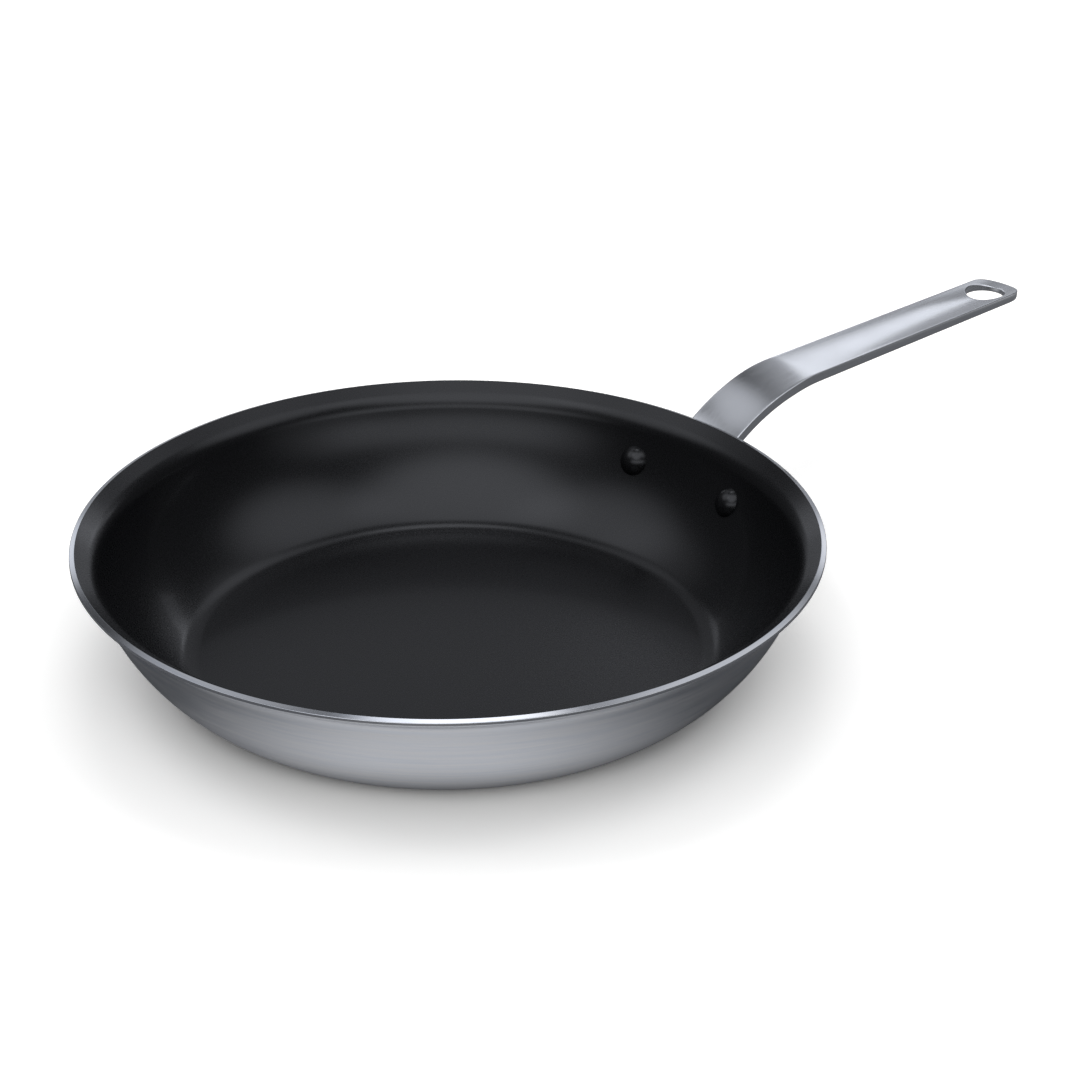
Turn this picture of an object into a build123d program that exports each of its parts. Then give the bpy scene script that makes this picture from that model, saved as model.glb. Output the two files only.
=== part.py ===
from build123d import *
import os
from math import acos, asin, cos, isclose, pi, radians, sin, sqrt, tan

# Omelette pan: a spun sheet bowl with a coated inside and a riveted bar handle.
# Millimetres and degrees. The base's middle is the origin, +Z is up, the handle runs along +X.

# Bowl, measured on the cooking surface unless named otherwise; the wall spreads from floor to rim
rim_diameter = 320.0
pan_height = 58.9
wall_thick = 3.0
wall_spread = 51.6
cove_radius = 15.4
cove_angle = 35.5
neck_radius = 12.6
lip_angle = 35.7
lip_length = 6.3

# Bare metal edge of the rim, faced off outside the coating
rim_face_width = 2.3
rim_face_drop = 0.8
rim_round = 0.3

# Coating, drawn at its built-up thickness
coat_thick = 0.1

# Handle bar, placed from the rim's edge
handle_length = 213.4
handle_rise = 13.1
handle_thick = 4.9
handle_root_width = 29.6
bend_narrowing = 1.7
end_narrowing = 2.6
narrowing_from_rim = 36.0
narrowing_length = 25.0
bend_radius = 100.0
rim_gap = 5.3
edge_round = 0.5

# Dished top of the bar, shallow at the bend and deep at the end
dish_depth_bend = 0.6
dish_depth_end = 2.6
dish_edge_margin = 0.6
top_stock = 1.0

# Hanging hole near the end of the bar
hang_hole_diameter = 19.3
hang_hole_to_end = 17.9

# Riveting flange that lies on the outside of the wall
flange_thick = 3.4
flange_height = 22.0
neck_flare = 6.0
under_fillet = 9.0
flange_round = 0.6

# Rivets, placed down from the rim's edge
rivet_drop = 22.9
rivet_spacing = 60.0
rivet_shank_diameter = 6.4
rivet_hole_clearance = 0.1
rivet_head_diameter = 14.0
rivet_head_height = 4.5
rivet_tail_diameter = 12.0
rivet_tail_height = 2.6

# How far every cutting solid runs past what it cuts
overrun = 6.0

# Worked out from the sizes above
rim_radius = rim_diameter / 2
coat_edge_radius = rim_radius - rim_face_width
floor_radius = rim_radius - wall_spread
cove_slope = radians(cove_angle)
lip_slope = radians(lip_angle)
floor_height = wall_thick
handle_reach = rim_radius + handle_length
handle_bend_width = handle_root_width - bend_narrowing
handle_end_width = handle_bend_width - end_narrowing
handle_top = pan_height + handle_rise
rivet_height = pan_height - rivet_drop


class Bend:
    """One arc of the wall, met at a slope; side is +1 if its centre is inside the bowl."""

    def __init__(self, centre_x, centre_z, radius, side, first_slope, last_slope):
        self.centre_x = centre_x
        self.centre_z = centre_z
        self.radius = radius
        self.side = side
        self.first_slope = first_slope
        self.last_slope = last_slope

    def at(self, slope, offset):
        """The point at this slope, offset outwards from the cooking surface."""
        reach = self.side * self.radius + offset
        return (self.centre_x + reach * sin(slope), self.centre_z - reach * cos(slope))

    def edge(self, offset):
        middle_slope = (self.first_slope + self.last_slope) / 2
        return ThreePointArc(
            self.at(self.first_slope, offset),
            self.at(middle_slope, offset),
            self.at(self.last_slope, offset),
        )


def wall_bends():
    """Cove, wall and neck arcs, each tangent to the next, from the floor up to the lip."""
    cove_centre_z = floor_height + cove_radius
    cove = Bend(floor_radius, cove_centre_z, cove_radius, 1, 0, cove_slope)
    joint_x, joint_z = cove.at(cove_slope, 0)
    lip_root_x = coat_edge_radius - lip_length * cos(lip_slope)
    lip_root_z = pan_height - lip_length * sin(lip_slope)
    neck_x = lip_root_x + neck_radius * sin(lip_slope)
    neck_z = lip_root_z - neck_radius * cos(lip_slope)
    # The wall arc leaves the cove along its normal and touches the neck arc from inside
    across_x = joint_x - neck_x
    across_z = joint_z - neck_z
    along_normal = across_z * cos(cove_slope) - across_x * sin(cove_slope)
    gap_squared = across_x**2 + across_z**2 - neck_radius**2
    wall_radius = gap_squared / (2 * (neck_radius - along_normal))
    wall_x = joint_x - wall_radius * sin(cove_slope)
    wall_z = joint_z + wall_radius * cos(cove_slope)
    neck_slope = asin((neck_x - wall_x) / (wall_radius + neck_radius))
    wall = Bend(wall_x, wall_z, wall_radius, 1, cove_slope, neck_slope)
    neck = Bend(neck_x, neck_z, neck_radius, -1, neck_slope, lip_slope)
    return cove, wall, neck


cove_bend, wall_bend, neck_bend = wall_bends()
rivet_slope = acos((wall_bend.centre_z - rivet_height) / wall_bend.radius)
rivet_wall_radius = wall_bend.at(rivet_slope, 0)[0]
rivet_turn = asin(rivet_spacing / 2 / rivet_wall_radius)
flange_offset = wall_thick + flange_thick


def lip_end(offset):
    """End of the flared lip, offset outwards from the edge of the coating."""
    return (coat_edge_radius + offset * sin(lip_slope), pan_height - offset * cos(lip_slope))


def wall_edges(offset):
    """Floor, cove, wall, neck and lip as one chain of edges from the axis outwards."""
    floor_z = floor_height - offset
    return [
        Line((0, floor_z), (floor_radius, floor_z)),
        cove_bend.edge(offset),
        wall_bend.edge(offset),
        neck_bend.edge(offset),
        Line(neck_bend.at(lip_slope, offset), lip_end(offset)),
    ]


def spin(profile):
    """Turn a half section about the bowl's axis."""
    return revolve(Plane.XZ * profile, axis=Axis.Z)


def filled_bowl(offset):
    """Everything inside the bowl's surface at this offset, up to a lid above the rim."""
    lid_z = pan_height + overrun
    edge_x, edge_z = lip_end(offset)
    outline = wall_edges(offset) + [
        Line((edge_x, edge_z), (edge_x, lid_z)),
        Line((edge_x, lid_z), (0, lid_z)),
        Line((0, lid_z), (0, floor_height - offset)),
    ]
    return make_face(outline)


def rivet_place(side, offset):
    """Frame on the wall at a rivet: its Z axis points into the bowl along the wall's normal."""
    radius, height = wall_bend.at(rivet_slope, offset)
    turn = side * rivet_turn
    inward = (-sin(rivet_slope) * cos(turn), -sin(rivet_slope) * sin(turn), cos(rivet_slope))
    spot = (radius * cos(turn), radius * sin(turn), height)
    return Plane(origin=spot, z_dir=inward)


def rivet_hole(side):
    """Drill for one rivet through coating, wall and flange."""
    radius = rivet_shank_diameter / 2 + rivet_hole_clearance
    depth = flange_offset + 2 * overrun
    start = rivet_place(side, 0)
    return start * Pos(0, 0, overrun - depth / 2) * Cylinder(radius, depth)


def drilled(solid):
    for side in (1, -1):
        solid = solid - rivet_hole(side)
    return solid


def make_pan_body():
    """Spun aluminium sheet: flat base, coved wall, flared lip with a faced-off edge."""
    inner = wall_edges(coat_thick)
    outer = wall_edges(wall_thick)[:-1]
    face_start = lip_end(coat_thick)
    face_end = (rim_radius, pan_height - rim_face_drop)
    under_start = neck_bend.at(lip_slope, wall_thick)
    under_rise = (rim_radius - under_start[0]) * tan(lip_slope)
    under_end = (rim_radius, under_start[1] + under_rise)
    closing = [
        Line(face_start, face_end),
        Line(face_end, under_end),
        Line(under_end, under_start),
        Line((0, floor_height - coat_thick), (0, floor_height - wall_thick)),
    ]
    section = make_face(inner + outer + closing)
    rim_corners = section.vertices().group_by(Axis.X)[-1]
    section = fillet(rim_corners, rim_round)
    return drilled(spin(section))


def make_nonstick_coating():
    """Nonstick film over the whole inside, from the floor's middle to the edge of the lip."""
    inner = wall_edges(0)
    outer = wall_edges(coat_thick)
    closing = [
        Line(lip_end(0), lip_end(coat_thick)),
        Line((0, floor_height), (0, floor_height - coat_thick)),
    ]
    return drilled(spin(make_face(inner + outer + closing)))


# Centre of the handle's bend: the bar's top passes the rim's edge at the named gap
bend_drop = handle_top - (pan_height - rim_face_drop)
bend_centre_x = rim_radius + rim_gap + sqrt(bend_radius**2 - (bend_radius - bend_drop) ** 2)
bend_centre_z = handle_top - bend_radius
flange_centre_radius, flange_centre_z = wall_bend.at(rivet_slope, wall_thick + flange_thick / 2)
flange_low = flange_centre_z - flange_height / 2
flange_high = flange_centre_z + flange_height / 2
root_start_x = flange_centre_radius - flange_height


def level_strip(low, high):
    """A flat strip of half section between two heights, wider than the handle."""
    reach = handle_reach + overrun
    return Pos(reach / 2, (low + high) / 2) * Rectangle(reach, high - low)


def make_flange_section(top):
    """Half section of the flange: a plate that follows the outside of the wall."""
    plate = filled_bowl(flange_offset) - filled_bowl(wall_thick)
    return plate & level_strip(flange_low, top)


def make_bar_section():
    """Half section of the bar with its top left thick: level, then bent down to the wall."""
    top_radius = bend_radius + top_stock
    under_radius = bend_radius - handle_thick
    ring = Circle(top_radius) - Circle(under_radius)
    straight_length = handle_reach + overrun - bend_centre_x
    straight_thick = handle_thick + top_stock
    straight_z = handle_top + top_stock - straight_thick / 2
    straight = Pos(bend_centre_x + straight_length / 2, straight_z) * Rectangle(
        straight_length, straight_thick
    )
    root_height = handle_top + overrun - flange_centre_z
    root_window = Pos(bend_centre_x / 2, flange_centre_z + root_height / 2) * Rectangle(
        bend_centre_x, root_height
    )
    bend = (Pos(bend_centre_x, bend_centre_z) * ring) & root_window
    flange = make_flange_section(flange_high + neck_flare)
    section = bend + straight + flange - filled_bowl(wall_thick)
    under_arcs = [
        edge
        for edge in section.edges().filter_by(GeomType.CIRCLE)
        if isclose(edge.radius, under_radius) and edge.center().X < bend_centre_x
    ]
    corner = ShapeList(under_arcs).vertices().sort_by(Axis.Y)[0]
    return fillet(corner, under_fillet)


def make_bar_outline():
    """Plan of the bar: parallel root, narrowing over the bend, then tapering to a round end."""
    root_half = handle_root_width / 2
    bend_half = handle_bend_width / 2
    end_radius = handle_end_width / 2
    end_x = handle_reach - end_radius
    narrow_start = (rim_radius + narrowing_from_rim, root_half)
    narrow_end = (rim_radius + narrowing_from_rim + narrowing_length, bend_half)
    taper = asin((bend_half - end_radius) / (end_x - narrow_end[0]))
    side_end = (end_x + end_radius * sin(taper), end_radius * cos(taper))
    side = [
        Line((root_start_x, root_half), narrow_start),
        Spline(narrow_start, narrow_end, tangents=[(1, 0), (cos(taper), -sin(taper))]),
        Line(narrow_end, side_end),
        ThreePointArc(
            side_end,
            (end_x + end_radius * cos(pi / 4), end_radius * sin(pi / 4)),
            (handle_reach, 0),
        ),
    ]
    other_side = [mirror(edge, Plane.XZ) for edge in side]
    root = Line((root_start_x, root_half), (root_start_x, -root_half))
    return make_face(side + other_side + [root])


def make_ears_outline():
    """Front view of the flange: an ear round each rivet, joined by a straight web."""
    ear_spacing = 2 * flange_centre_radius * sin(rivet_turn)
    return Pos(0, flange_centre_z) * SlotCenterToCenter(ear_spacing, flange_height)


def make_neck_outline():
    """Front view of the neck: as wide as the bar above, flared down to the flange's top edge."""
    half_width = handle_root_width / 2
    flare_half = half_width + neck_flare
    neck_top = flange_high + neck_flare
    arc_x = flare_half - neck_flare * cos(pi / 4)
    arc_z = neck_top - neck_flare * sin(pi / 4)
    side = [
        Line((flare_half, flange_centre_z), (flare_half, flange_high)),
        ThreePointArc((flare_half, flange_high), (arc_x, arc_z), (half_width, neck_top)),
        Line((half_width, neck_top), (0, neck_top)),
    ]
    other_side = [mirror(edge, Plane.YZ) for edge in side]
    base = Line((flare_half, flange_centre_z), (-flare_half, flange_centre_z))
    return make_face(side + other_side + [base])


def top_cutter_section(plane, half_width, depth):
    """All above the bar's top at one place: level, with a shallow arc down in the middle."""
    half_chord = half_width + dish_edge_margin
    half_span = handle_root_width / 2 + neck_flare
    outline = [
        Line((-half_span, 0), (-half_chord, 0)),
        ThreePointArc((-half_chord, 0), (0, -depth), (half_chord, 0)),
        Line((half_chord, 0), (half_span, 0)),
        Line((half_span, 0), (half_span, overrun)),
        Line((half_span, overrun), (-half_span, overrun)),
        Line((-half_span, overrun), (-half_span, 0)),
    ]
    return plane * make_face(outline)


def make_top_cutters():
    """The dished top: swept round the bend, then deepening along the straight to the end."""
    bend_face = Plane(origin=(bend_centre_x, 0, handle_top), x_dir=(0, 1, 0), z_dir=(1, 0, 0))
    end_x = handle_reach + overrun
    end_face = Plane(origin=(end_x, 0, handle_top), x_dir=(0, 1, 0), z_dir=(1, 0, 0))
    shallow = top_cutter_section(bend_face, handle_root_width / 2, dish_depth_bend)
    deep = top_cutter_section(end_face, handle_end_width / 2, dish_depth_end)
    bend_axis = Axis((bend_centre_x, 0, bend_centre_z), (0, -1, 0))
    root_turn = asin((bend_centre_x - flange_centre_radius) / bend_radius)
    round_bend = revolve(shallow, axis=bend_axis, revolution_arc=root_turn * 180 / pi)
    straight = loft([shallow, deep], ruled=True)
    return round_bend, straight


def handle_sector(section):
    """Turn a half section through just enough of a circle to hold the whole flange."""
    reach = flange_centre_radius * sin(rivet_turn) + flange_height
    sector = 2 * asin(reach / rim_radius) * 180 / pi
    return Rot(0, 0, -sector / 2) * revolve(Plane.XZ * section, Axis.Z, sector)


def make_bar():
    """The bar from wall to round end, its long edges and the hanging hole's edges rounded."""
    bar = handle_sector(make_bar_section()) & extrude(make_bar_outline(), handle_top + overrun)
    for cutter in make_top_cutters():
        bar = bar - cutter
    bar = bar.solid()
    end_edges = bar.edges().sort_by(Axis.X)[-2:]
    bar = fillet(end_edges, edge_round)
    hole_x = handle_reach - hang_hole_to_end
    drill = Cylinder(hang_hole_diameter / 2, 2 * (handle_thick + overrun))
    bar = bar - Pos(hole_x, 0, handle_top) * drill
    hole_edges = []
    for edge in bar.edges():
        middle = edge.center(CenterOf.MASS)
        if isclose(middle.X, hole_x, abs_tol=edge_round) and edge.is_closed:
            hole_edges.append(edge)
    return fillet(hole_edges, edge_round)


def make_ears():
    """The riveting plate on the wall, its outer edge rounded."""
    plate = handle_sector(make_flange_section(flange_high))
    flange_start = Plane.YZ.offset(root_start_x)
    ears = plate & extrude(flange_start * make_ears_outline(), 2 * flange_height)
    end_edges = ears.edges().sort_by(Axis.Y)[-2:]
    return fillet(end_edges.sort_by(Axis.X)[-1], flange_round)


def make_handle():
    """Plated steel bar joined by a flared neck to a riveting flange seated on the wall."""
    band = handle_sector(make_flange_section(flange_high + neck_flare))
    flange_start = Plane.YZ.offset(root_start_x)
    neck = band & extrude(flange_start * make_neck_outline(), 2 * flange_height)
    for cutter in make_top_cutters():
        neck = neck - cutter
    return drilled((make_bar() - band) + neck + make_ears())


def dome(place, diameter, height, outwards):
    """A rivet head: a spherical cap standing on the wall, or on the flange outside."""
    base_radius = diameter / 2
    ball_radius = (base_radius**2 + height**2) / (2 * height)
    ball = Pos(0, 0, outwards * (height - ball_radius)) * Sphere(ball_radius)
    return place * ball


def make_rivet(side):
    """Aluminium rivet: domed head inside, shank, and the formed tail outside the flange."""
    cavity = spin(filled_bowl(0))
    head = dome(
        rivet_place(side, 0),
        rivet_head_diameter - 2 * coat_thick,
        rivet_head_height - coat_thick,
        1,
    )
    tail = dome(rivet_place(side, flange_offset), rivet_tail_diameter, rivet_tail_height, -1)
    shank_length = flange_offset + coat_thick
    shank = Cylinder(rivet_shank_diameter / 2, shank_length)
    shank = rivet_place(side, flange_offset / 2) * shank
    return (head & cavity) + shank + (tail - spin(filled_bowl(flange_offset)))


def make_rivet_coat(side):
    """Film of the same coating over one rivet's inner head."""
    cavity = spin(filled_bowl(0))
    outer = dome(rivet_place(side, 0), rivet_head_diameter, rivet_head_height, 1)
    inner = dome(
        rivet_place(side, 0),
        rivet_head_diameter - 2 * coat_thick,
        rivet_head_height - coat_thick,
        1,
    )
    return (outer - inner) & cavity


pieces = {
    "pan_body": make_pan_body(),
    "nonstick_coating": make_nonstick_coating(),
    "handle": make_handle(),
    "rivet_left": make_rivet(1),
    "rivet_right": make_rivet(-1),
    "rivet_coat_left": make_rivet_coat(1),
    "rivet_coat_right": make_rivet_coat(-1),
}

os.makedirs("parts", exist_ok=True)
for name, piece in pieces.items():
    export_step(piece, f"parts/{name}.step")
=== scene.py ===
# Omelette pan: a spun aluminium pan, black nonstick inside, with a riveted bar handle.
# Metres. The base's middle is the origin, +Z is up and the handle runs along +X.

from math import acos, asin, atan2, cos, degrees, hypot, pi, radians, sin, sqrt, tan

import bmesh
import bpy
import numpy as np
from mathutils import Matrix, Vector
from mathutils.geometry import delaunay_2d_cdt


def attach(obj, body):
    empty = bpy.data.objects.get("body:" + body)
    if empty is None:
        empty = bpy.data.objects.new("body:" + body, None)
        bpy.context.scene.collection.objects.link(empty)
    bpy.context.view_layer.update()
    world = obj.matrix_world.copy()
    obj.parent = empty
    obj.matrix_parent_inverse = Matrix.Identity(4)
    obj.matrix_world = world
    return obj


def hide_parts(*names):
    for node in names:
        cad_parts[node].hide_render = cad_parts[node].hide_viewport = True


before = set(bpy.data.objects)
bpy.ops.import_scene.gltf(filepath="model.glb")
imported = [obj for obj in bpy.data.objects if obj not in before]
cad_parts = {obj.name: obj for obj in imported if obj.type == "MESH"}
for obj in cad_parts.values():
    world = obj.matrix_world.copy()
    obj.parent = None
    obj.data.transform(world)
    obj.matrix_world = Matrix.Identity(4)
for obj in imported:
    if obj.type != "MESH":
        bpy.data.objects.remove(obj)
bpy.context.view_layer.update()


# Camera. It stands where the photographer's did: in front of the pan, to the left of the
# handle, looking down at it through a long lens.
camera_place = Vector((-0.6992, -0.8134, 0.5988))
camera_pitch = radians(26.94)
camera_turn = radians(-42.75)
lens = bpy.data.cameras.new("camera")
lens.lens = 94.1
lens.sensor_width = 36.0
lens.clip_start = 0.05
camera = bpy.data.objects.new("camera", lens)
camera.location = camera_place
camera.rotation_euler = (pi / 2 - camera_pitch, 0, camera_turn)
bpy.context.scene.collection.objects.link(camera)
bpy.context.scene.camera = camera
bpy.context.scene.view_settings.view_transform = "Standard"


# Floor. A plain white sheet under the pan. Camera rays alone see it white, with the pan's
# shadow. All other rays see it dim, with painted light on it: a glowing patch in front of
# the pan and one behind it, which show as painted reflections in the brushed outside, and
# a painted glow far off.
def linked(tree, kind, **inputs):
    """A new node with its inputs set to numbers, or joined to other nodes' outputs."""
    node = tree.nodes.new(kind)
    for name, value in inputs.items():
        by_number = name[0] == "i" and name[1:].isdigit()
        socket = node.inputs[int(name[1:]) if by_number else name.replace("_", " ")]
        if isinstance(value, bpy.types.NodeSocket):
            tree.links.new(value, socket)
        else:
            socket.default_value = value
    return node


def arithmetic(tree, operation, *values):
    """The result of a Math node whose inputs are numbers or other nodes' outputs."""
    node = tree.nodes.new("ShaderNodeMath")
    node.operation = operation
    for socket, value in zip(node.inputs, values):
        if isinstance(value, bpy.types.NodeSocket):
            tree.links.new(value, socket)
        else:
            socket.default_value = value
    return node.outputs[0]


def ramp(tree, value, low, high, top):
    """A soft step from 0 up to top between two values."""
    step = linked(tree, "ShaderNodeMapRange", Value=value)
    step.interpolation_type = "SMOOTHSTEP"
    step.inputs["From Min"].default_value = low
    step.inputs["From Max"].default_value = high
    step.inputs["To Max"].default_value = top
    return step.outputs[0]


def distance_from(tree, place, middle):
    """How far a place is from a middle point."""
    away = linked(tree, "ShaderNodeVectorMath", i0=place, i1=middle)
    away.operation = "DISTANCE"
    return away.outputs["Value"]


lamp_tint = (0.955, 0.985, 1.07)
floor_grey = 0.14
floor_seen_white = 1.27
patch_tint = (0.98, 0.99, 1.03)
painted_glow_patches = [
    # middle, inner and outer radius, glow
    ((-0.0975, -0.0985, 0.0), 0.02, 0.145, 0.64),
    ((0.1008, 0.1002, 0.0), 0.03, 0.200, 0.40),
]
# Distances from the axis: the painted glow patches fade out under the pan as a painted
# shadow, and a painted far glow fades in
under_dark = 0.108
under_light = 0.142
far_start = 0.45
far_end = 1.0
far_glow = 0.42
floor_paint = bpy.data.materials.new("floor_white")
floor_paint.use_nodes = True
tree = floor_paint.node_tree
tree.nodes.clear()
place = tree.nodes.new("ShaderNodeTexCoord").outputs["Object"]
patch_light = 0.0
for middle, inner, outer, strength in painted_glow_patches:
    patch = ramp(tree, distance_from(tree, place, middle), outer, inner, strength)
    patch_light = arithmetic(tree, "ADD", patch_light, patch)
off_axis = distance_from(tree, place, (0.0, 0.0, 0.0))
# Painted shadow: no glow under the pan, where its shadow falls on the floor.
outside_painted_shadow = ramp(tree, off_axis, under_dark, under_light, 1.0)
near_light = arithmetic(tree, "MULTIPLY", patch_light, outside_painted_shadow)
far_light = ramp(tree, off_axis, far_start, far_end, far_glow)
floor_light = arithmetic(tree, "ADD", near_light, far_light)
# The floor glows where no lamp is: painted light, which lights the pan and shows in its metal.
glow = linked(tree, "ShaderNodeEmission", Color=(*patch_tint, 1), Strength=floor_light)
sheet = linked(tree, "ShaderNodeBsdfDiffuse", Color=(floor_grey, floor_grey, floor_grey, 1))
lit_sheet = linked(tree, "ShaderNodeAddShader", i0=glow.outputs[0], i1=sheet.outputs[0])
seen_colour = [floor_seen_white / share for share in lamp_tint]
seen_sheet = linked(tree, "ShaderNodeBsdfDiffuse", Color=(*seen_colour, 1))
path = tree.nodes.new("ShaderNodeLightPath")
mixed = linked(
    tree, "ShaderNodeMixShader",
    i0=path.outputs["Is Camera Ray"], i1=lit_sheet.outputs[0], i2=seen_sheet.outputs[0],
)
linked(tree, "ShaderNodeOutputMaterial", Surface=mixed.outputs[0])
floor_half = 6.0
floor_mesh = bpy.data.meshes.new("floor")
corners = [(x * floor_half, y * floor_half, 0) for x, y in ((-1, -1), (1, -1), (1, 1), (-1, 1))]
floor_mesh.from_pydata(corners, [], [(0, 1, 2, 3)])
floor = bpy.data.objects.new("floor", floor_mesh)
floor_mesh.materials.append(floor_paint)
bpy.context.scene.collection.objects.link(floor)


# Studio. Soft boxes and one low even band behind the camera, on a dim surround, all painted
# on the world. Camera rays alone see plain white instead.
surround = 0.06
soft_boxes = [
    # turn from the view's far side, height, inner and outer half angle, brightness
    (172, 65, 17, 35, 1.28),
    (-96, 53, 5, 28, 1.0),
    (92, 53, 5, 28, 0.95),
    (62, 44, 4, 20, 0.25),
    (168, 30, 4, 50, 0.20),
    (-135, 10, 4, 24, 0.35),
    (28, 50, 2, 14, 0.5),
    (-33, 47, 3, 20, 0.7),
    (0, 67, 4, 11, 1.8),
    (25, 20, 2, 9, 0.8),
    (-25, 20, 2, 9, 0.8),
    (0, 12, 12, 38, 0.30),
]
# The band's heights and its half width round the camera, in degrees: where it fades in or out
band_foot = (8, 17)
band_top = (34, 24)
band_side = (60, 28)
band_glow = 1.1
view_turn = pi / 2 + camera_turn


def direction(turn, height):
    """The way to a place in the studio: degrees from the view's far side, and above the floor."""
    way = view_turn + radians(turn)
    up = radians(height)
    return (cos(up) * cos(way), cos(up) * sin(way), sin(up))


def closeness(tree, towards, middle):
    """The cosine of the angle between a ray's way and a fixed one."""
    product = linked(tree, "ShaderNodeVectorMath", i0=towards, i1=middle)
    product.operation = "DOT_PRODUCT"
    return product.outputs["Value"]


world = bpy.data.worlds.new("studio")
bpy.context.scene.world = world
world.use_nodes = True
tree = world.node_tree
tree.nodes.clear()
towards = tree.nodes.new("ShaderNodeTexCoord").outputs["Generated"]
light = surround
for turn, height, inner, outer, brightness in soft_boxes:
    near = closeness(tree, towards, direction(turn, height))
    glow = ramp(tree, near, cos(radians(outer)), cos(radians(inner)), brightness)
    light = arithmetic(tree, "ADD", light, glow)
rise = linked(tree, "ShaderNodeSeparateXYZ", Vector=towards).outputs[2]
above_foot = ramp(tree, rise, *[sin(radians(angle)) for angle in band_foot], 1.0)
below_top = ramp(tree, rise, *[sin(radians(angle)) for angle in band_top], 1.0)
behind_camera = closeness(tree, towards, direction(180, 0))
within_sides = ramp(tree, behind_camera, *[cos(radians(angle)) for angle in band_side], band_glow)
band = arithmetic(tree, "MULTIPLY", above_foot, below_top)
band = arithmetic(tree, "MULTIPLY", band, within_sides)
light = arithmetic(tree, "ADD", light, band)
studio_light = linked(tree, "ShaderNodeBackground", Color=(*lamp_tint, 1), Strength=light)
white_back = linked(tree, "ShaderNodeBackground", Color=(1, 1, 1, 1), Strength=1.0)
path = tree.nodes.new("ShaderNodeLightPath")
mixed = linked(
    tree, "ShaderNodeMixShader",
    i0=path.outputs["Is Camera Ray"], i1=studio_light.outputs[0], i2=white_back.outputs[0],
)
linked(tree, "ShaderNodeOutputWorld", Surface=mixed.outputs[0])


# Lamps. Four wide ones, high on all sides of the pan and weakest in front, throw its soft
# shadow and are hidden from reflections. A small strip behind the handle shows in its top.
def set_lamp(name, place, aim, width, height, power):
    """A rectangular lamp that faces an aim from its place, and that the camera doesn't see."""
    lamp = bpy.data.lights.new(name, "AREA")
    lamp.shape = "RECTANGLE"
    lamp.size = width
    lamp.size_y = height
    lamp.energy = power
    lamp.color = lamp_tint
    stand = bpy.data.objects.new(name, lamp)
    stand.location = place
    stand.rotation_euler = (place - aim).to_track_quat("Z", "Y").to_euler()
    stand.visible_camera = False
    bpy.context.scene.collection.objects.link(stand)
    return stand


lamp_height = 52
lamp_distance = 3.0
lamp_size = 1.6
pan_middle = Vector((0, 0, 0))
wide_lamps = [
    # name, turn from the view's far side, power in watts
    ("left_lamp", 72, 13.5),
    ("back_lamp", 0, 12.0),
    ("right_lamp", -72, 13.5),
    ("front_lamp", 180, 5.0),
]
for name, turn, power in wide_lamps:
    place = Vector(direction(turn, lamp_height)) * lamp_distance
    lamp = set_lamp(name, place, pan_middle, lamp_size, lamp_size, power)
    lamp.visible_glossy = False
strip_place = Vector((0.50, 0.260, 0.215))
strip_aim = Vector((0.28, 0.0, 0.072))
strip_width = 0.24
strip_height = 0.08
strip_power = 0.045
set_lamp("strip", strip_place, strip_aim, strip_width, strip_height, strip_power)


# Bowl. One heavy aluminium sheet, spun to a flat base, a coved and curved wall, a short
# reversed neck and a flared lip whose edge is faced off bare and polished.
mm = 0.001
rim_radius = 160.0 * mm
pan_height = 58.9 * mm
wall_thick = 3.0 * mm
floor_radius = 108.4 * mm
cove_radius = 15.4 * mm
cove_slope = radians(35.5)
neck_radius = 12.6 * mm
lip_slope = radians(35.7)
lip_length = 6.3 * mm
rim_face_width = 2.3 * mm
rim_face_drop = 0.8 * mm
rim_round = 0.3 * mm
coat_thick = 0.1 * mm
coat_edge_radius = rim_radius - rim_face_width
bowl_segments = 384
# Points along the half section's parts
floor_steps = 40
cove_steps = 14
wall_steps = 40
neck_steps = 18
lip_steps = 8


def wall_bends():
    """Centre, radius, side and slopes of the cove, wall and neck arcs, on the cooking surface."""
    cove = (floor_radius, wall_thick + cove_radius, cove_radius, 1, 0.0, cove_slope)
    joint_x = cove[0] + cove_radius * sin(cove_slope)
    joint_z = cove[1] - cove_radius * cos(cove_slope)
    neck_x = coat_edge_radius - lip_length * cos(lip_slope) + neck_radius * sin(lip_slope)
    neck_z = pan_height - lip_length * sin(lip_slope) - neck_radius * cos(lip_slope)
    across_x = joint_x - neck_x
    across_z = joint_z - neck_z
    along_normal = across_z * cos(cove_slope) - across_x * sin(cove_slope)
    gap_squared = across_x**2 + across_z**2 - neck_radius**2
    wall_radius = gap_squared / (2 * (neck_radius - along_normal))
    wall_x = joint_x - wall_radius * sin(cove_slope)
    wall_z = joint_z + wall_radius * cos(cove_slope)
    neck_slope = asin((neck_x - wall_x) / (wall_radius + neck_radius))
    wall = (wall_x, wall_z, wall_radius, 1, cove_slope, neck_slope)
    neck = (neck_x, neck_z, neck_radius, -1, neck_slope, lip_slope)
    return cove, wall, neck


cove_bend, wall_bend, neck_bend = wall_bends()


def on_bend(bend, slope, offset):
    """A point of an arc at a slope, moved outwards from the cooking surface."""
    centre_x, centre_z, radius, side = bend[:4]
    reach = side * radius + offset
    return (centre_x + reach * sin(slope), centre_z - reach * cos(slope))


def lip_end(offset):
    """The end of the lip's straight run, moved outwards from the cooking surface."""
    return (coat_edge_radius + offset * sin(lip_slope), pan_height - offset * cos(lip_slope))


def run(start, end, steps):
    """Points from start to just before end, closer together at both ends."""
    shares = [(1 - cos(pi * i / steps)) / 2 for i in range(steps)]
    way = (end[0] - start[0], end[1] - start[1])
    return [(start[0] + way[0] * t, start[1] + way[1] * t) for t in shares]


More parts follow.
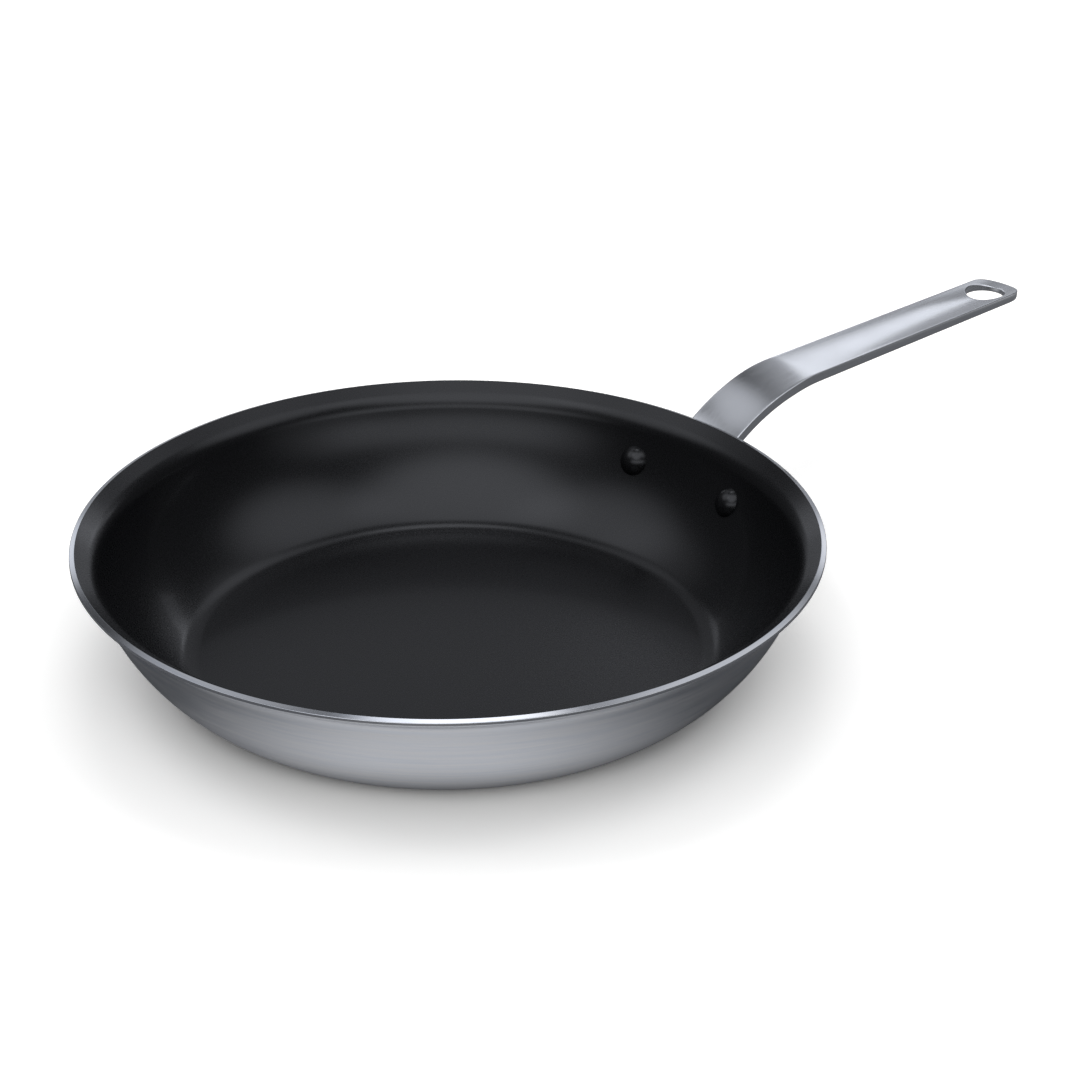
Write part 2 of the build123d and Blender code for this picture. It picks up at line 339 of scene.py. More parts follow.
def wall_line(offset):
    """The bowl's half section at one offset outwards from the cooking surface, axis to lip."""
    low = wall_thick - offset
    points = run((0.0, low), (floor_radius, low), floor_steps)
    bends = ((cove_bend, cove_steps), (wall_bend, wall_steps), (neck_bend, neck_steps))
    for bend, steps in bends:
        first, last = bend[4:]
        points += [on_bend(bend, first + (last - first) * i / steps, offset) for i in range(steps)]
    lip = run(on_bend(neck_bend, lip_slope, offset), lip_end(offset), lip_steps)
    return points + lip + [lip_end(offset)]


def rounded(before, corner, after, radius, steps=5):
    """The arc that rounds a corner of a section."""
    corner_v = Vector(corner)
    in_way = (Vector(before) - corner_v).normalized()
    out_way = (Vector(after) - corner_v).normalized()
    half = in_way.angle(out_way) / 2
    centre = corner_v + (in_way + out_way).normalized() * (radius / sin(half))
    start = corner_v + in_way * (radius / tan(half)) - centre
    end = corner_v + out_way * (radius / tan(half)) - centre
    points = []
    for i in range(steps + 1):
        t = i / steps
        spoke = (start * (1 - t) + end * t).normalized() * radius
        points.append(tuple(centre + spoke))
    return points


inner = wall_line(coat_thick)
# The lip's outside is left off here, because it runs on to the rim and is drawn apart
outer = wall_line(wall_thick)[:-(lip_steps + 1)]
face_end = (rim_radius, pan_height - rim_face_drop)
under_start = on_bend(neck_bend, lip_slope, wall_thick)
under_end = (rim_radius, under_start[1] + (rim_radius - under_start[0]) * tan(lip_slope))
upper_round = rounded(inner[-1], face_end, under_end, rim_round)
lower_round = rounded(face_end, under_end, under_start, rim_round)
section = (
    inner[:-1]
    + run(inner[-1], upper_round[0], 6) + upper_round
    + run(upper_round[-1], lower_round[0], 5)[1:] + lower_round
    + run(lower_round[-1], under_start, 8)[1:] + [under_start]
    + outer[::-1]
)


def section_line(name, points):
    """A half section as a chain of points: X is the distance from the axis, Z is the height."""
    line = bpy.data.meshes.new(name)
    links = [(i, i + 1) for i in range(len(points) - 1)]
    line.from_pydata([(x, 0, z) for x, z in points], links, [])
    return bpy.data.objects.new(name, line)


seam_gap = 1e-6  # closes the spun skin along its seam and at its poles


def make_spinning_tree():
    """Geometry Nodes that turn a half section about the upright axis, as a lathe does."""
    tree = bpy.data.node_groups.new("spin_section", "GeometryNodeTree")
    tree.interface.new_socket("Section", in_out="INPUT", socket_type="NodeSocketGeometry")
    segments = tree.interface.new_socket("Segments", in_out="INPUT", socket_type="NodeSocketInt")
    segments.default_value = bowl_segments
    tree.interface.new_socket("Finish", in_out="INPUT", socket_type="NodeSocketMaterial")
    tree.interface.new_socket("Spun", in_out="OUTPUT", socket_type="NodeSocketGeometry")
    start = tree.nodes.new("NodeGroupInput")
    end = tree.nodes.new("NodeGroupOutput")
    count = linked(tree, "GeometryNodeAttributeDomainSize", Geometry=start.outputs["Section"])
    count.component = "MESH"
    grid = linked(
        tree, "GeometryNodeMeshGrid",
        Vertices_X=arithmetic(tree, "ADD", start.outputs["Segments"], 1.0),
        Vertices_Y=count.outputs["Point Count"],
    )
    index = tree.nodes.new("GeometryNodeInputIndex").outputs[0]
    row_length = count.outputs["Point Count"]
    step = arithmetic(tree, "FLOOR", arithmetic(tree, "DIVIDE", index, row_length))
    place = arithmetic(tree, "SUBTRACT", index, arithmetic(tree, "MULTIPLY", step, row_length))
    part_turn = arithmetic(tree, "DIVIDE", step, start.outputs["Segments"])
    angle = arithmetic(tree, "MULTIPLY", part_turn, 2 * pi)
    where = linked(tree, "GeometryNodeSampleIndex", Geometry=start.outputs["Section"])
    where.data_type = "FLOAT_VECTOR"
    tree.links.new(place, where.inputs["Index"])
    position = tree.nodes.new("GeometryNodeInputPosition").outputs[0]
    tree.links.new(position, where.inputs["Value"])
    apart = linked(tree, "ShaderNodeSeparateXYZ", Vector=where.outputs["Value"])
    x = arithmetic(tree, "MULTIPLY", apart.outputs[0], arithmetic(tree, "COSINE", angle))
    y = arithmetic(tree, "MULTIPLY", apart.outputs[0], arithmetic(tree, "SINE", angle))
    spun = linked(tree, "ShaderNodeCombineXYZ", X=x, Y=y, Z=apart.outputs[2])
    moved = linked(
        tree, "GeometryNodeSetPosition", Geometry=grid.outputs["Mesh"], Position=spun.outputs[0]
    )
    merged = linked(
        tree, "GeometryNodeMergeByDistance", Geometry=moved.outputs[0], Distance=seam_gap
    )
    whole = linked(tree, "GeometryNodeRealizeInstances", Geometry=merged.outputs[0])
    done = linked(
        tree, "GeometryNodeSetMaterial", Geometry=whole.outputs[0], Material=start.outputs["Finish"]
    )
    tree.links.new(done.outputs[0], end.inputs[0])
    return tree


spin_section = make_spinning_tree()


def made_by_nodes(name, base, tree, **values):
    """Run a node tree on a base object and keep the result as a plain mesh object."""
    bpy.context.scene.collection.objects.link(base)
    modifier = base.modifiers.new("nodes", "NODES")
    modifier.node_group = tree
    for socket in tree.interface.items_tree:
        if socket.in_out == "INPUT" and socket.name in values:
            modifier[socket.identifier] = values[socket.name]
    bpy.context.view_layer.update()
    seen = base.evaluated_get(bpy.context.evaluated_depsgraph_get())
    mesh = bpy.data.meshes.new_from_object(seen)
    mesh.name = name
    mesh.shade_smooth()
    base.modifiers.clear()
    piece = bpy.data.objects.new(name, mesh)
    bpy.context.scene.collection.objects.link(piece)
    bpy.data.objects.remove(base)
    return piece


def finish(name, colour, metallic, roughness):
    """A new material with its shader's plain values set; returns it with its tree and shader."""
    paint = bpy.data.materials.new(name)
    paint.use_nodes = True
    shader = paint.node_tree.nodes["Principled BSDF"]
    shader.inputs["Base Color"].default_value = (*colour, 1)
    shader.inputs["Metallic"].default_value = metallic
    shader.inputs["Roughness"].default_value = roughness
    return paint, paint.node_tree, shader


def grain(tree, place, scale, detail=3.0, roughness=0.55, turn=None):
    """Noise over a place in metres; the scale is in waves a metre."""
    noise = tree.nodes.new("ShaderNodeTexNoise")
    noise.inputs["Scale"].default_value = scale
    noise.inputs["Detail"].default_value = detail
    noise.inputs["Roughness"].default_value = roughness
    if turn is not None:
        noise.noise_dimensions = "4D"
        tree.links.new(turn, noise.inputs["W"])
    tree.links.new(place, noise.inputs["Vector"])
    return noise.outputs[0]


def spread(tree, value, low, high, out_low, out_high):
    """A value's range stretched onto another range, and held inside it."""
    stretched = linked(tree, "ShaderNodeMapRange", Value=value)
    ends = (("From Min", low), ("From Max", high), ("To Min", out_low), ("To Max", out_high))
    for name, number in ends:
        stretched.inputs[name].default_value = number
    return stretched.outputs[0]


def blend(tree, share, first, second):
    """One colour turned into another by a share between 0 and 1."""
    mix = tree.nodes.new("ShaderNodeMix")
    mix.data_type = "RGBA"
    tree.links.new(share, mix.inputs["Factor"])
    mix.inputs[6].default_value = (*first, 1)
    mix.inputs[7].default_value = (*second, 1)
    return mix.outputs[2]


def ripple(tree, shader, height, strength, distance):
    """Fine relief on a surface."""
    bump = linked(tree, "ShaderNodeBump", Strength=strength, Distance=distance, Height=height)
    tree.links.new(bump.outputs[0], shader.inputs["Normal"])


def spun_aluminium_finish():
    """Satin aluminium brushed round and round on the lathe, with the faced-off rim polished."""
    paint, tree, shader = finish("spun_aluminium", (0.62, 0.63, 0.64), 1.0, 0.46)
    place = tree.nodes.new("ShaderNodeTexCoord").outputs["Object"]
    apart = linked(tree, "ShaderNodeSeparateXYZ", Vector=place)
    level = linked(tree, "ShaderNodeCombineXYZ", X=apart.outputs[0], Y=apart.outputs[1])
    size = linked(tree, "ShaderNodeVectorMath", i0=level.outputs[0])
    size.operation = "LENGTH"
    radius = size.outputs["Value"]
    # Streaks: quick to change up the wall, slow to change round it
    round_way = linked(tree, "ShaderNodeVectorMath", i0=level.outputs[0])
    round_way.operation = "NORMALIZE"
    slow = linked(tree, "ShaderNodeVectorMath", i0=round_way.outputs[0], i1=(0.006, 0.006, 0.0))
    slow.operation = "MULTIPLY"
    slow_apart = linked(tree, "ShaderNodeSeparateXYZ", Vector=slow.outputs[0])
    streak_place = linked(
        tree, "ShaderNodeCombineXYZ",
        X=slow_apart.outputs[0], Y=slow_apart.outputs[1], Z=apart.outputs[2],
    )
    drift = arithmetic(tree, "MULTIPLY", radius, 0.8)
    streaks = grain(tree, streak_place.outputs[0], 520.0, 5.0, 0.65, drift)
    # The polished face: the outermost ring of the rim, and only near its top
    faced = arithmetic(
        tree, "MULTIPLY",
        spread(tree, radius, coat_edge_radius - 0.2 * mm, coat_edge_radius, 0.0, 1.0),
        spread(tree, apart.outputs[2], pan_height - 2.9 * mm, pan_height - 2.6 * mm, 0.0, 1.0),
    )
    satin = arithmetic(tree, "SUBTRACT", 1.0, faced)
    polished = 0.14
    rough = arithmetic(tree, "MULTIPLY", spread(tree, streaks, 0.38, 0.62, 0.20, 0.32), satin)
    tree.links.new(arithmetic(tree, "ADD", rough, polished), shader.inputs["Roughness"])
    tree.links.new(arithmetic(tree, "MULTIPLY", satin, 0.85), shader.inputs["Anisotropic"])
    shade = spread(tree, streaks, 0.35, 0.65, 0.0, 1.0)
    tint = blend(tree, shade, (0.56, 0.58, 0.61), (0.67, 0.67, 0.67))
    tree.links.new(tint, shader.inputs["Base Color"])
    ripple(tree, shader, streaks, 0.15, 0.00003)
    tangent = tree.nodes.new("ShaderNodeTangent")
    tangent.direction_type = "RADIAL"
    tangent.axis = "Z"
    tree.links.new(tangent.outputs[0], shader.inputs["Tangent"])
    return paint


spun_aluminium = spun_aluminium_finish()
bowl = made_by_nodes(
    "bowl", section_line("bowl_section", section), spin_section,
    Segments=bowl_segments, Finish=spun_aluminium,
)
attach(bowl, "root")
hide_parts("pan_body")


# Nonstick coating. A thin black film, sprayed and baked over the whole inside, that stops at
# the lip's bare edge.
def nonstick_finish():
    """Black nonstick: a soft, slightly grainy sheen under a thin glossier skin."""
    paint, tree, shader = finish("baked_nonstick", (0.0035, 0.0035, 0.0038), 0.0, 0.30)
    shader.inputs["IOR"].default_value = 1.43
    shader.inputs["Coat Weight"].default_value = 0.16
    shader.inputs["Coat Roughness"].default_value = 0.10
    shader.inputs["Coat IOR"].default_value = 1.5
    place = tree.nodes.new("ShaderNodeTexCoord").outputs["Object"]
    fine = grain(tree, place, 950.0, 4.0, 0.6)
    tree.links.new(spread(tree, fine, 0.35, 0.65, 0.26, 0.30), shader.inputs["Roughness"])
    shade = spread(tree, fine, 0.3, 0.7, 0.0, 1.0)
    tint = blend(tree, shade, (0.0028, 0.0028, 0.0030), (0.0046, 0.0046, 0.0050))
    tree.links.new(tint, shader.inputs["Base Color"])
    ripple(tree, shader, fine, 0.04, 0.00004)
    return paint


baked_nonstick = nonstick_finish()
film_section = wall_line(0.0) + wall_line(coat_thick)[::-1]
film = made_by_nodes(
    "nonstick_film", section_line("film_section", film_section), spin_section,
    Segments=bowl_segments, Finish=baked_nonstick,
)
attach(film, "root")
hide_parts("nonstick_coating")


# Handle. A plated steel bar with a dished top and a round end with a hanging hole. Past the rim
# it bends down and spreads into a flange that follows the wall and takes the two rivets.
handle_length = 213.4 * mm
handle_top = pan_height + 13.1 * mm
handle_thick = 4.9 * mm
root_half_width = 14.8 * mm
bend_half_width = 13.95 * mm
end_half_width = 12.65 * mm
narrowing_start = rim_radius + 36.0 * mm
narrowing_end = narrowing_start + 25.0 * mm
bend_radius = 100.0 * mm
rim_gap = 5.3 * mm
edge_round = 0.5 * mm
dish_depth_bend = 0.6 * mm
dish_depth_end = 2.6 * mm
dish_margin = 0.6 * mm
dish_overrun = 6.0 * mm
hole_radius = 9.65 * mm
hole_to_end = 17.9 * mm
flange_thick = 3.4 * mm
flange_height = 22.0 * mm
neck_flare = 6.0 * mm
under_fillet = 9.0 * mm
rivet_height = pan_height - 22.9 * mm
rivet_spacing = 60.0 * mm
handle_grain = 1.1 * mm
# Points along the bar's parts, from the flange's foot to the end
flange_steps = 40
kink_steps = 12
fillet_steps = 8
bend_steps = 120
straight_steps = 60
kink_at = flange_steps + kink_steps
bend_at = kink_at + fillet_steps
straight_at = bend_at + bend_steps

handle_reach = rim_radius + handle_length
flange_offset = wall_thick + flange_thick
wall_x, wall_z, wall_radius = wall_bend[:3]
rivet_slope = acos((wall_z - rivet_height) / wall_radius)
rivet_turn = asin(rivet_spacing / 2 / on_bend(wall_bend, rivet_slope, 0.0)[0])
flange_radius, flange_middle = on_bend(wall_bend, rivet_slope, (wall_thick + flange_offset) / 2)
ear_middle = flange_radius * sin(rivet_turn)
bend_drop = handle_top - face_end[1]
bend_x = rim_radius + rim_gap + sqrt(bend_radius**2 - (bend_radius - bend_drop) ** 2)
bend_z = handle_top - bend_radius


def bar_paths():
    """The bar's top and underside as matched chains of (x, z), from the flange to the end."""

    def on_ring(radius, turn):
        return (bend_x - radius * sin(turn), bend_z + radius * cos(turn))

    def between(function, first, last, steps):
        return [function(first + (last - first) * i / steps) for i in range(steps + 1)]

    under_radius = bend_radius - handle_thick
    flange_core = wall_radius + (wall_thick + flange_offset) / 2
    low = acos((wall_z - flange_middle + flange_height / 2) / flange_core)
    # The fillet's ball touches the flange's outside and the bend's underside
    outside = wall_radius + flange_offset + under_fillet
    ringside = under_radius - under_fillet
    away = hypot(bend_x - wall_x, bend_z - wall_z)
    along = (outside**2 - ringside**2 + away**2) / (2 * away)
    across = sqrt(outside**2 - along**2)
    way = ((bend_x - wall_x) / away, (bend_z - wall_z) / away)
    fillet_x = wall_x + way[0] * along - way[1] * across
    fillet_z = wall_z + way[1] * along + way[0] * across
    fillet_slope = atan2(fillet_x - wall_x, wall_z - fillet_z)
    fillet_turn = atan2(bend_x - fillet_x, fillet_z - bend_z)
    # The kink, where the bend's top meets the wall
    seat = wall_radius + wall_thick
    along = (seat**2 - bend_radius**2 + away**2) / (2 * away)
    across = sqrt(seat**2 - along**2)
    kink_x = wall_x + way[0] * along - way[1] * across
    kink_z = wall_z + way[1] * along + way[0] * across
    kink_slope = atan2(kink_x - wall_x, wall_z - kink_z)
    kink_turn = atan2(bend_x - kink_x, kink_z - bend_z)

    def on_wall(v):
        return on_bend(wall_bend, v, wall_thick)

    def on_flange(v):
        return on_bend(wall_bend, v, flange_offset)

    def on_fillet(v):
        return (fillet_x + under_fillet * cos(v), fillet_z + under_fillet * sin(v))

    top = between(on_wall, low, fillet_slope, flange_steps)
    top += between(on_wall, fillet_slope, kink_slope, kink_steps)[1:]
    top += between(lambda v: on_ring(bend_radius, v), kink_turn, fillet_turn, fillet_steps)[1:]
    top += between(lambda v: on_ring(bend_radius, v), fillet_turn, 0, bend_steps)[1:]
    under = between(on_flange, low, fillet_slope, flange_steps)
    first = atan2(wall_z - fillet_z, wall_x - fillet_x)
    last = atan2(fillet_z - bend_z, fillet_x - bend_x)
    under += between(on_fillet, first, last, kink_steps + fillet_steps)[1:]
    under += between(lambda v: on_ring(under_radius, v), fillet_turn, 0, bend_steps)[1:]
    far = handle_reach + 2 * mm
    top += between(lambda v: (v, handle_top), bend_x, far, straight_steps)[1:]
    under += between(lambda v: (v, handle_top - handle_thick), bend_x, far, straight_steps)[1:]
    return np.array(top), np.array(under)


top_path, under_path = bar_paths()
middle_height = (top_path[:, 1] + under_path[:, 1]) / 2
step_lengths = np.hypot(*np.diff(top_path, axis=0).T)
lengths = np.concatenate([[0], np.cumsum(step_lengths)])
kink = lengths[kink_at]


def length_at_x(x):
    """How far along the flat blank the bar reaches a distance from the axis, past the kink."""
    return np.interp(x, top_path[bend_at:, 0], lengths[bend_at:])


def length_at_height(z):
    """How far along the flat blank the bar's middle reaches a height, up to the straight part."""
    return np.interp(z, middle_height[:straight_at], lengths[:straight_at])


def blank_outline():
    """One side of the flat blank as (length, half width), from the flange's foot to the end."""

    def arc(middle, radius, first, last, count):
        turns = np.radians(np.linspace(first, last, count))
        return [(middle[0] + radius * cos(t), middle[1] + radius * sin(t)) for t in turns]

    ear = flange_height / 2
    front = [(y, flange_middle - ear) for y in np.arange(0, ear_middle, handle_grain)]
    front += arc((ear_middle, flange_middle), ear, -90, 90, 36)
    flare = root_half_width + neck_flare
    front += [(y, flange_middle + ear) for y in np.linspace(ear_middle, flare, 10)[1:-1]]
    front += arc((flare, flange_middle + ear + neck_flare), neck_flare, -90, -180, 12)
    side = [(length_at_height(z), y) for y, z in front]
    root_x = np.interp(side[-1][0], lengths, top_path[:, 0])
    root_places = np.arange(root_x, narrowing_start, handle_grain)[1:]
    side += [(length_at_x(x), root_half_width) for x in root_places]
    end_x = handle_reach - end_half_width
    taper = asin((bend_half_width - end_half_width) / (end_x - narrowing_end))
    run_x = narrowing_end - narrowing_start
    for x in np.arange(narrowing_start, narrowing_end, handle_grain):
        t = (x - narrowing_start) / run_x
        ends = (2 * t**3 - 3 * t**2 + 1) * root_half_width + (3 * t**2 - 2 * t**3) * bend_half_width
        side.append((length_at_x(x), ends + (t**3 - t**2) * run_x * -tan(taper)))
    last_x = end_x + end_half_width * sin(taper)
    last_y = end_half_width * cos(taper)
    for x in np.arange(narrowing_end, last_x, handle_grain):
        t = (x - narrowing_end) / (last_x - narrowing_end)
        side.append((length_at_x(x), bend_half_width + (last_y - bend_half_width) * t))
    tip = length_at_x(handle_reach) - end_half_width
    side += arc((tip, 0), end_half_width, 90 - degrees(taper), 0, 40)
    return np.array(side)


def bar_surface(length, y, below):
    """Points of the bar's top (below False) or underside at flat blank places."""
    path = under_path if below else top_path
    x = np.interp(length, lengths, path[:, 0])
    z = np.interp(length, lengths, path[:, 1])
    on_wall = 1 - np.clip((length - kink + 2 * mm) / (6 * mm), 0, 1)
    on_wall = on_wall**2 * (3 - 2 * on_wall)
    turned = np.sqrt(x**2 - y**2)
    if below:
        return np.stack([turned, y, z], axis=-1)
    straight_share = np.clip((x - bend_x) / (handle_reach + dish_overrun - bend_x), 0, 1)
    depth = dish_depth_bend + (dish_depth_end - dish_depth_bend) * straight_share
    chord = root_half_width + (end_half_width - root_half_width) * straight_share + dish_margin
    ball = (chord**2 + depth**2) / (2 * depth)
    dish = (np.sqrt(np.maximum(ball**2 - y**2, 0)) - (ball - depth)) * (1 - on_wall)
    lean = np.arcsin(np.clip((bend_x - x) / bend_radius, 0, 1))
    x = turned * on_wall + x * (1 - on_wall)
    return np.stack([x + dish * np.sin(lean), y, z - dish * np.cos(lean)], axis=-1)


def surface_normals(length, y, below):
    """Unit normals that point out of the bar."""
    step = 0.2 * mm
    along = bar_surface(length + step, y, below) - bar_surface(length - step, y, below)
    across = bar_surface(length, y + step, below) - bar_surface(length, y - step, below)
    normal = np.cross(along, across)
    normal /= np.linalg.norm(normal, axis=-1, keepdims=True)
    return -normal if below else normal


def loop_normals(loop):
    """Outward normals of a closed flat loop that runs anticlockwise."""
    along = np.roll(loop, -1, axis=0) - np.roll(loop, 1, axis=0)
    along /= np.linalg.norm(along, axis=1, keepdims=True)
    return np.stack([along[:, 1], -along[:, 0]], axis=1)


def make_handle_mesh():
    """The bar's two skins, joined by rounded edges round its outline and its hanging hole."""
    side = blank_outline()
    outline = np.concatenate([side[1:] * (1, -1), side[::-1][1:]])
    hole_place = np.array([length_at_x(handle_reach - hole_to_end), 0])
    turns = np.linspace(0, 2 * pi, 96, endpoint=False)
    hole = hole_place + hole_radius * np.stack([np.cos(turns), np.sin(turns)], axis=1)
    loops = [(outline, loop_normals(outline)), (hole, -loop_normals(hole))]
    inset = [loop - normal * edge_round for loop, normal in loops]
    rim_points = np.concatenate(inset)
    edges = []
    start = 0
    for loop in inset:
        count = len(loop)
        edges += [(start + i, start + (i + 1) % count) for i in range(count)]
        start += count
    # Rows of points that fill the blank; those outside it or too close to its edge go
    blank_half = 60 * mm
    closest = 0.45 * handle_grain
    field = []
    for row, length in enumerate(np.arange(0, lengths[-1], handle_grain)):
        shift = (row % 2) * handle_grain / 2
        for y in np.arange(-blank_half + shift, blank_half, handle_grain):
            field.append((length, y))
    field = np.array(field)
    crossings = np.zeros(len(field), int)
    nearest = np.full(len(field), 1.0)
    for loop in inset:
        for (ax, ay), (bx, by) in zip(loop, np.roll(loop, -1, axis=0)):
            spans = (ay > field[:, 1]) != (by > field[:, 1])
            reach = ax + (field[:, 1] - ay) / (by - ay if by != ay else 1) * (bx - ax)
            crossings += spans & (field[:, 0] < reach)
            way = (bx - ax, by - ay)
            share = np.clip(((field - (ax, ay)) @ way) / (way[0] ** 2 + way[1] ** 2), 0, 1)
            gap = field - np.stack([ax + share * way[0], ay + share * way[1]], axis=1)
            nearest = np.minimum(nearest, np.hypot(gap[:, 0], gap[:, 1]))
    field = field[(crossings % 2 == 1) & (nearest > closest)]
    flat = np.concatenate([rim_points, field])
    made = delaunay_2d_cdt([Vector(p) for p in flat / mm], edges, [], 1, 1e-4)
    flat = np.array([tuple(p) for p in made[0]]) * mm
    # A triangle with all its corners on the hole's edge lies inside the hole
    hole_points = set(range(len(outline), len(outline) + len(hole)))
    triangles = [face for face in made[2] if not hole_points.issuperset(face)]
    count = len(flat)
    points = [bar_surface(flat[:, 0], flat[:, 1], below) for below in (False, True)]
    faces = list(triangles) + [tuple(count + i for i in reversed(face)) for face in triangles]
    total = 2 * count
    start = 0
    for (loop, outward), inner_loop in zip(loops, inset):
        size = len(loop)
        rings = [list(range(start, start + size))]
        bends = np.radians([15, 30, 45, 60, 75, 90])
        strips = []
        for below in (False, True):
            up = surface_normals(loop[:, 0], loop[:, 1], below)
            strip = []
            for bend in bends:
                flat_ring = inner_loop + outward * edge_round * sin(bend)
                ring = bar_surface(flat_ring[:, 0], flat_ring[:, 1], below)
                strip.append(ring - up * edge_round * (1 - cos(bend)))
            strips.append((strip, up))
        new_rings = strips[0][0] + strips[1][0][::-1]
        middle = (strips[0][0][-1] + strips[1][0][-1]) / 2
        new_rings.insert(len(bends), middle)
        for ring in new_rings:
            points.append(ring)
            rings.append(list(range(total, total + size)))
            total += size
        rings.append([count + i for i in range(start, start + size)])
        for first, second in zip(rings[:-1], rings[1:]):
            for i in range(size):
                j = (i + 1) % size
                faces.append((first[i], second[i], second[j], first[j]))
        start += size
    mesh = bpy.data.meshes.new("handle_bar")
    mesh.from_pydata(np.concatenate(points).tolist(), [], faces)
    mesh.update()
    return mesh


def faced_outwards(mesh):
    """Turn faces so that each one looks out of the closed shell."""
    shell = bmesh.new()
    shell.from_mesh(mesh)
    bmesh.ops.recalc_face_normals(shell, faces=shell.faces)
    shell.to_mesh(mesh)
    shell.free()


def plated_finish():
    """Bright satin plating, polished lengthwise, so its faint lines run along the bar."""
    paint, tree, shader = finish("satin_plate", (0.75, 0.76, 0.77), 1.0, 0.19)
    place = tree.nodes.new("ShaderNodeTexCoord").outputs["Object"]
    long_place = linked(tree, "ShaderNodeVectorMath", i0=place, i1=(0.02, 1.0, 0.3))
    long_place.operation = "MULTIPLY"
    lines = grain(tree, long_place.outputs[0], 1600.0, 3.0, 0.6)
    clouds = grain(tree, place, 60.0, 2.0, 0.5)
    rough = arithmetic(
        tree, "ADD",
        spread(tree, lines, 0.3, 0.7, 0.16, 0.21), spread(tree, clouds, 0.35, 0.65, -0.01, 0.01),
    )
    tree.links.new(rough, shader.inputs["Roughness"])
    shade = spread(tree, lines, 0.3, 0.7, 0.0, 1.0)
    tint = blend(tree, shade, (0.72, 0.73, 0.74), (0.77, 0.78, 0.79))
    tree.links.new(tint, shader.inputs["Base Color"])
    ripple(tree, shader, lines, 0.02, 0.00002)
    return paint


satin_plate = plated_finish()
bar_mesh = make_handle_mesh()
faced_outwards(bar_mesh)
bar_mesh.materials.append(satin_plate)
bar_mesh.shade_smooth()
bar = bpy.data.objects.new("handle_bar", bar_mesh)
bpy.context.scene.collection.objects.link(bar)
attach(bar, "root")
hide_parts("handle")


# Rivets. Two aluminium rivets through wall and flange: a domed head inside, painted over with
# the same nonstick film, and a low formed tail outside.
head_radius = 7.0 * mm
head_height = 4.5 * mm
shank_radius = 3.2 * mm
tail_radius = 6.0 * mm
tail_height = 2.6 * mm
tail_sunk = 0.4 * mm
rivet_segments = 64


def dome_line(radius, height, base, below, way, steps=28):
    """A dome's half section from its top to a little below its base, both along the axis."""
    ball = (radius**2 + height**2) / (2 * height)
    middle = height - ball
    last = acos((-below - middle) / ball)
    turns = [last * i / steps for i in range(steps + 1)]
    return [(ball * sin(t), base + way * (middle + ball * cos(t))) for t in turns]


head_line = dome_line(head_radius - coat_thick, head_height - coat_thick, 0.0, 0.0, 1)
tail_line = dome_line(tail_radius, tail_height, -flange_offset, tail_sunk, -1)
rivet_section = head_line + [(shank_radius, 0.0), (shank_radius, -flange_offset)] + tail_line[::-1]
film_top = dome_line(head_radius, head_height, 0.0, 0.0, 1)
cap_section = film_top + head_line[::-1]


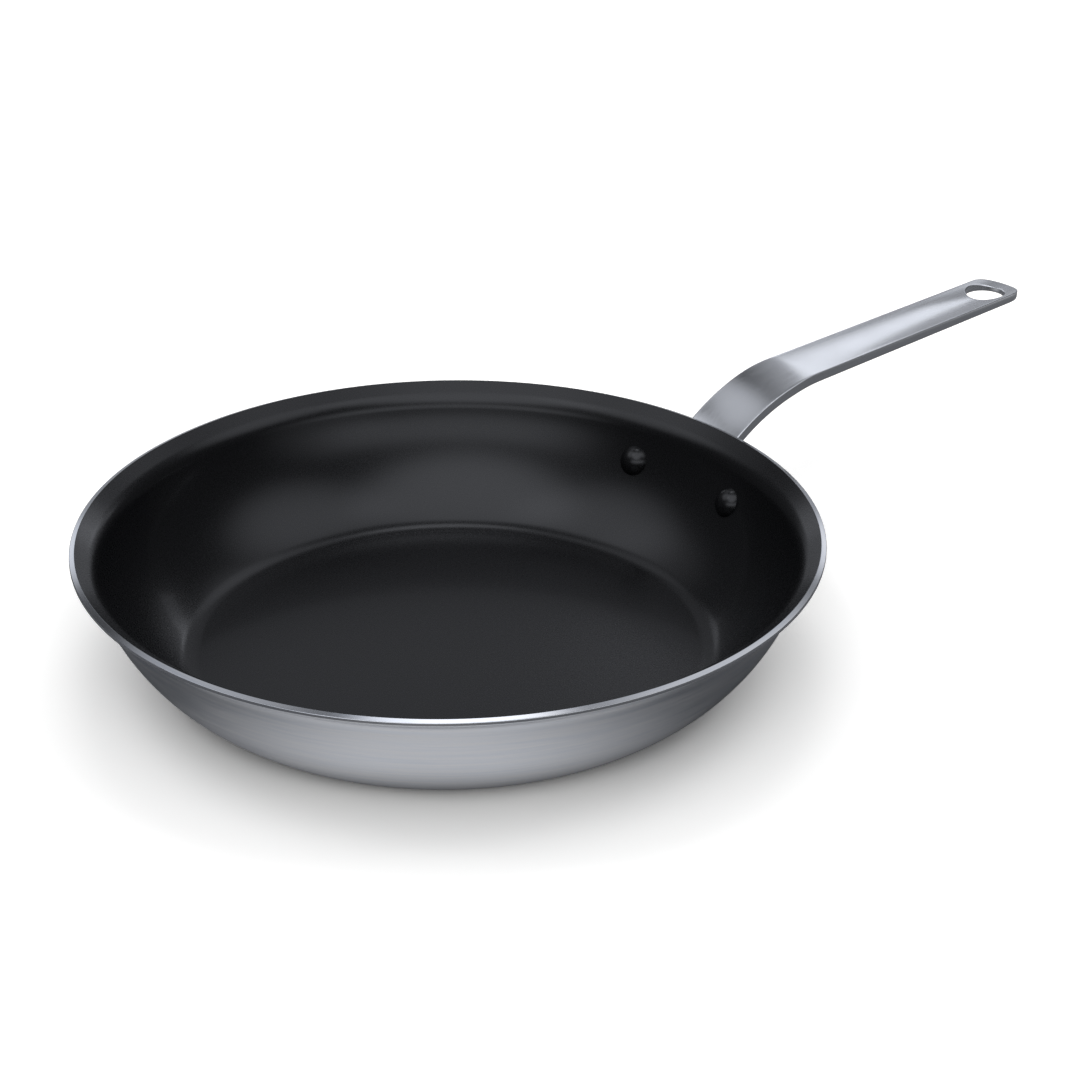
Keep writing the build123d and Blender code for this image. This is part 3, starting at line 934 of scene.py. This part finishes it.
def make_pair_tree():
    """Geometry Nodes that set one part on each seat, standing along the seat's normal."""
    tree = bpy.data.node_groups.new("set_on_seats", "GeometryNodeTree")
    tree.interface.new_socket("Seats", in_out="INPUT", socket_type="NodeSocketGeometry")
    tree.interface.new_socket("Part", in_out="INPUT", socket_type="NodeSocketObject")
    tree.interface.new_socket("Finish", in_out="INPUT", socket_type="NodeSocketMaterial")
    tree.interface.new_socket("Parts", in_out="OUTPUT", socket_type="NodeSocketGeometry")
    start = tree.nodes.new("NodeGroupInput")
    end = tree.nodes.new("NodeGroupOutput")
    way = tree.nodes.new("GeometryNodeInputNamedAttribute")
    way.data_type = "FLOAT_VECTOR"
    way.inputs["Name"].default_value = "inward"
    turned = linked(tree, "FunctionNodeAlignRotationToVector", Vector=way.outputs["Attribute"])
    turned.axis = "Z"
    part = linked(tree, "GeometryNodeObjectInfo", Object=start.outputs["Part"])
    placed = linked(
        tree, "GeometryNodeInstanceOnPoints",
        Points=start.outputs["Seats"], Instance=part.outputs["Geometry"],
        Rotation=turned.outputs[0],
    )
    whole = linked(tree, "GeometryNodeRealizeInstances", Geometry=placed.outputs[0])
    done = linked(
        tree, "GeometryNodeSetMaterial", Geometry=whole.outputs[0], Material=start.outputs["Finish"]
    )
    tree.links.new(done.outputs[0], end.inputs[0])
    return tree


set_on_seats = make_pair_tree()


def rivet_seats(name):
    """The two places on the wall, each with the way into the bowl."""
    radius, height = on_bend(wall_bend, rivet_slope, 0.0)
    spots = []
    ways = []
    for turn in (rivet_turn, -rivet_turn):
        spots.append((radius * cos(turn), radius * sin(turn), height))
        ways += [-sin(rivet_slope) * cos(turn), -sin(rivet_slope) * sin(turn), cos(rivet_slope)]
    mesh = bpy.data.meshes.new(name)
    mesh.from_pydata(spots, [], [])
    mesh.attributes.new("inward", "FLOAT_VECTOR", "POINT").data.foreach_set("vector", ways)
    return bpy.data.objects.new(name, mesh)


def rivet_finish():
    """Pressed aluminium with the faint marks of the riveting set."""
    paint, tree, shader = finish("rivet_metal", (0.68, 0.69, 0.70), 1.0, 0.3)
    place = tree.nodes.new("ShaderNodeTexCoord").outputs["Object"]
    marks = grain(tree, place, 900.0, 3.0, 0.6)
    tree.links.new(spread(tree, marks, 0.35, 0.65, 0.26, 0.38), shader.inputs["Roughness"])
    shade = spread(tree, marks, 0.3, 0.7, 0.0, 1.0)
    tint = blend(tree, shade, (0.63, 0.64, 0.65), (0.72, 0.73, 0.74))
    tree.links.new(tint, shader.inputs["Base Color"])
    ripple(tree, shader, marks, 0.10, 0.00003)
    return paint


rivet_metal = rivet_finish()
rivet_nodes = ("rivet_left", "rivet_right")
cap_nodes = ("rivet_coat_left", "rivet_coat_right")
for name, line, paint, nodes, slot in (
    ("rivets", rivet_section, rivet_metal, rivet_nodes, "rivet_aluminium"),
    ("rivet_caps", cap_section, baked_nonstick, cap_nodes, "nonstick_black"),
):
    one = made_by_nodes(
        name + "_one", section_line(name + "_section", line), spin_section,
        Segments=rivet_segments, Finish=paint,
    )
    pair = made_by_nodes(name, rivet_seats(name + "_seats"), set_on_seats, Part=one, Finish=paint)
    bpy.data.objects.remove(one)
    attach(pair, "root")
    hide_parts(*nodes)
